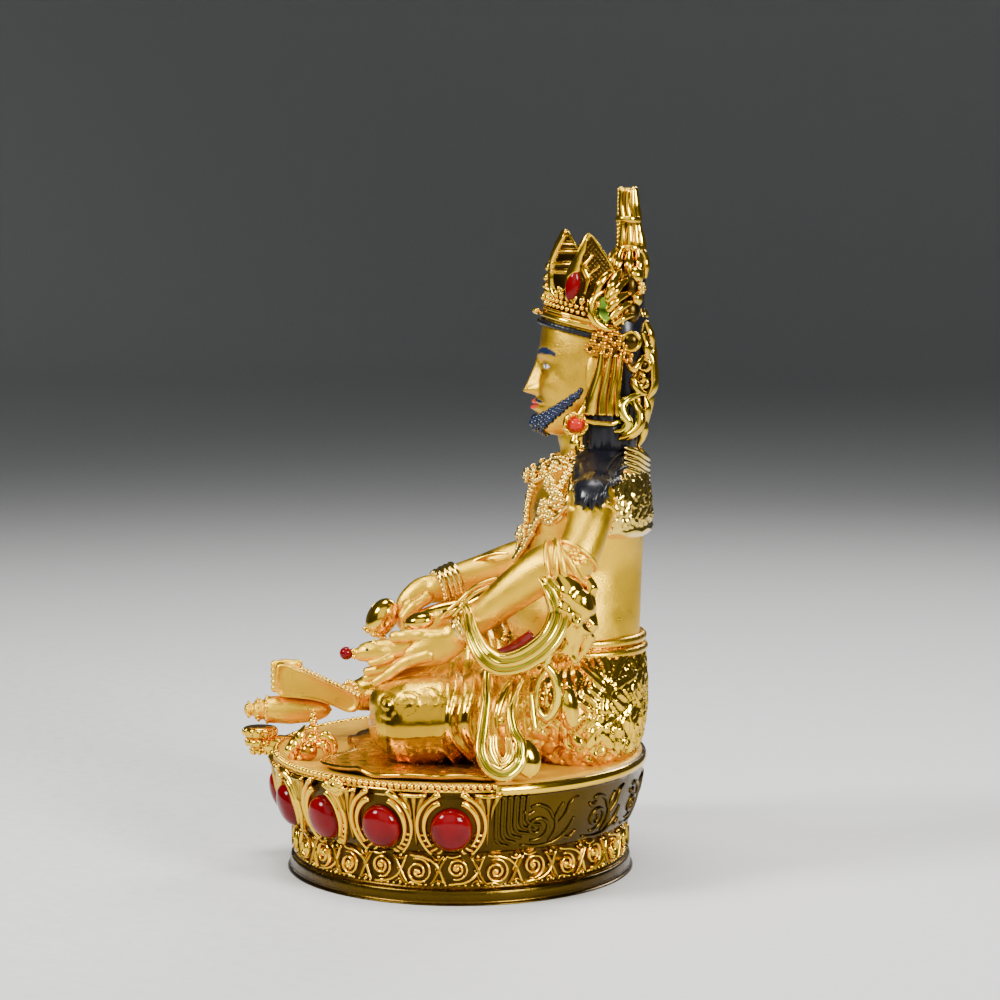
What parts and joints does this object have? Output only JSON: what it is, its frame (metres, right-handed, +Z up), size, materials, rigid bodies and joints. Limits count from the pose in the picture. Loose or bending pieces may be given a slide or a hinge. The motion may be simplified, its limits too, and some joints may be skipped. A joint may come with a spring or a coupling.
{
  "type": "bodhisattva statue",
  "caption": "Seated, crowned bodhisattva of wealth with a mongoose on the left hand and a foot on a shell, built with its oval jewelled plinth.",
  "frame": {"origin": "centre of the bounding box's underside, in the plane that the plinth stands on", "axes": "+Z up, the figure faces -Y, its left hand is on the +X side"},
  "size_m": [0.133, 0.1226, 0.1994],
  "materials": {
    "gilded_bright": "mirror polished gold plating",
    "gilded_satin": "frosted matte gold plating",
    "red_stone": "polished",
    "dark_enamel": "glossy paint on the hair, brows and beard"
  },
  "bodies": {
    "root": {"plinth": "gilded_bright", "figure": "gilded_satin", "plinth_stone_1": "red_stone", "plinth_stone_2": "red_stone", "plinth_stone_3": "red_stone", "plinth_stone_4": "red_stone", "plinth_stone_5": "red_stone", "plinth_stone_6": "red_stone", "plinth_stone_7": "red_stone", "plinth_stone_8": "red_stone", "plinth_stone_9": "red_stone", "crown_stone_left": "red_stone", "crown_stone_right": "red_stone", "ear_stone_left": "red_stone", "ear_stone_right": "red_stone"}
  },
  "joints": []
}
